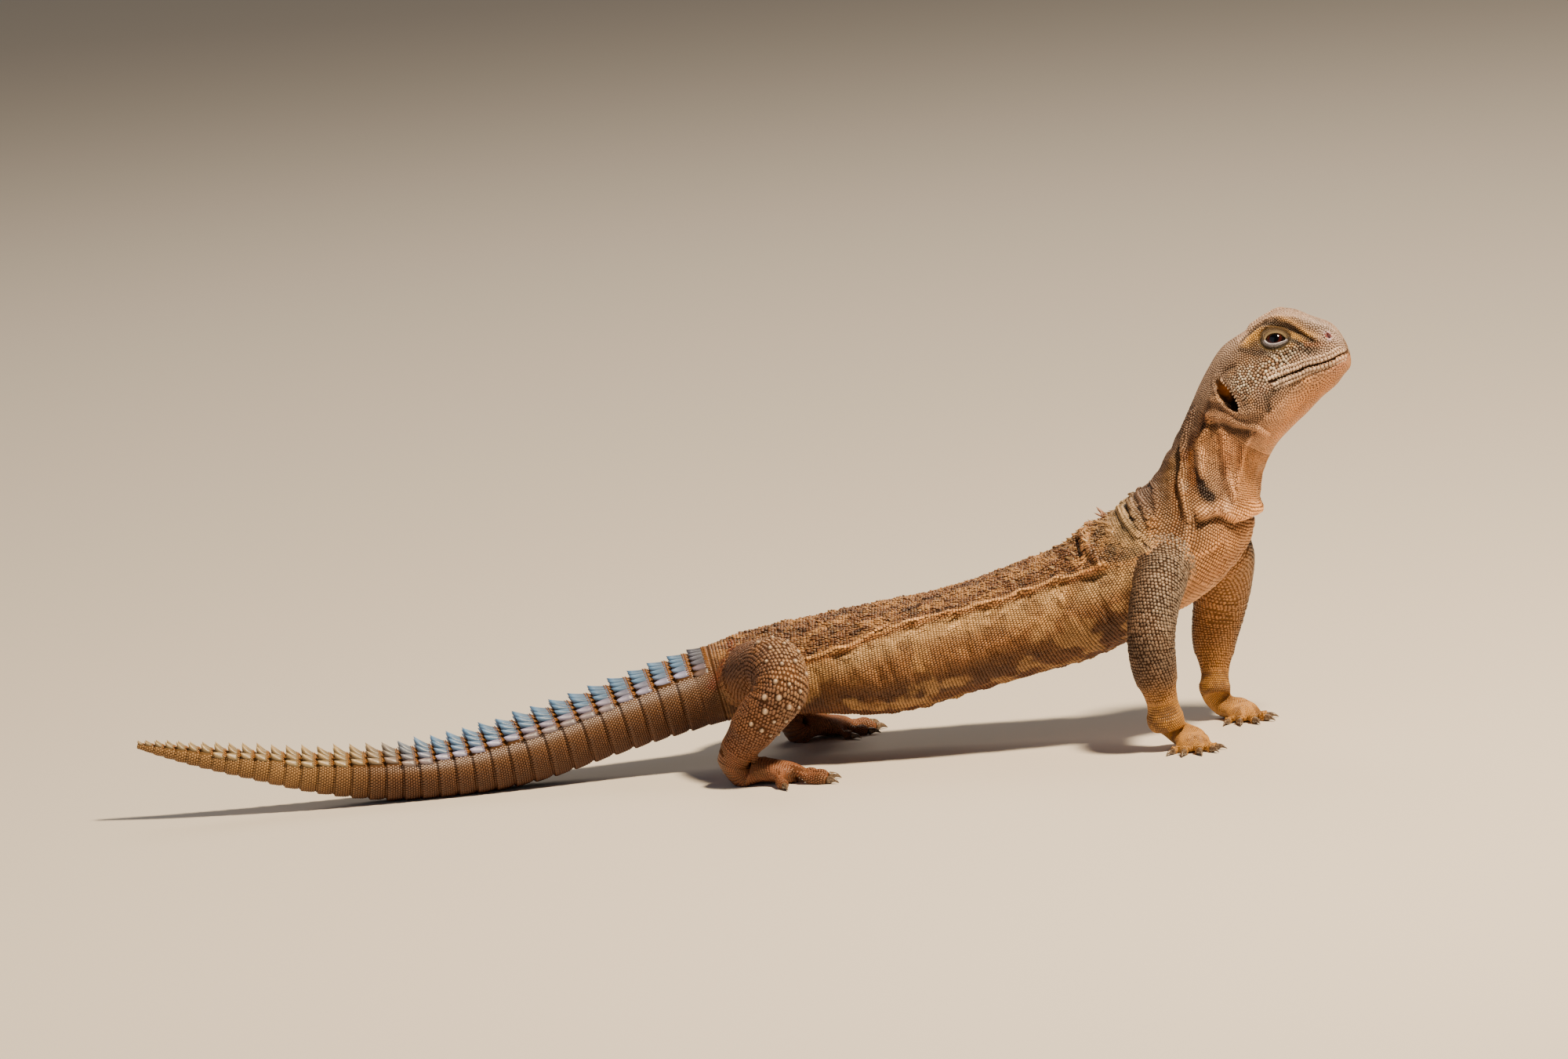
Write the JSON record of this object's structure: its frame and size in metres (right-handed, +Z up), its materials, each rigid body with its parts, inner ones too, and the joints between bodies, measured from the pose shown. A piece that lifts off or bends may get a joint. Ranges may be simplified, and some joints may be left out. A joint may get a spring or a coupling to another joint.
{
  "type": "spiny-tailed lizard",
  "caption": "Life-size still model of a spiny-tailed lizard, forebody raised on its straight arms, ringed spiny tail resting behind it.",
  "frame": {"origin": "on the floor under the middle of the animal's box", "axes": "+X towards the head, +Z up, the animal's right side faces -Y"},
  "size_m": [0.3968, 0.1156, 0.1349],
  "materials": {
    "head_scales": "dry matt scales, sandy grey-brown with cream beads",
    "neck_skin": "soft folded skin with fine scales, orange-tan",
    "body_scales": "fine dry scales in cross rows, golden tan with a brown back",
    "limb_scales": "dry brown scales with pale beads",
    "tail_scales": "horny scales and spines, tan with blue-grey along the top",
    "claw_horn": "dark horn, half gloss",
    "eye": "wet dark brown eye"
  },
  "bodies": {
    "root": {"head": "head_scales", "eye_right": "eye", "eye_left": "eye", "neck": "neck_skin", "torso": "body_scales", "tail_base": "tail_scales", "tail_middle": "tail_scales", "tail_tip": "tail_scales", "upper_arm_right": "limb_scales", "forearm_right": "limb_scales", "hand_right": "limb_scales", "thigh_right": "limb_scales", "shin_right": "limb_scales", "foot_right": "limb_scales", "claw_hand_right_1": "claw_horn", "claw_hand_right_2": "claw_horn", "claw_hand_right_3": "claw_horn", "claw_hand_right_4": "claw_horn", "claw_hand_right_5": "claw_horn", "claw_foot_right_1": "claw_horn", "claw_foot_right_2": "claw_horn", "claw_foot_right_3": "claw_horn", "claw_foot_right_4": "claw_horn", "claw_foot_right_5": "claw_horn", "upper_arm_left": "limb_scales", "forearm_left": "limb_scales", "hand_left": "limb_scales", "thigh_left": "limb_scales", "shin_left": "limb_scales", "foot_left": "limb_scales", "claw_hand_left_1": "claw_horn", "claw_hand_left_2": "claw_horn", "claw_hand_left_3": "claw_horn", "claw_hand_left_4": "claw_horn", "claw_hand_left_5": "claw_horn", "claw_foot_left_1": "claw_horn", "claw_foot_left_2": "claw_horn", "claw_foot_left_3": "claw_horn", "claw_foot_left_4": "claw_horn", "claw_foot_left_5": "claw_horn"}
  },
  "joints": []
}
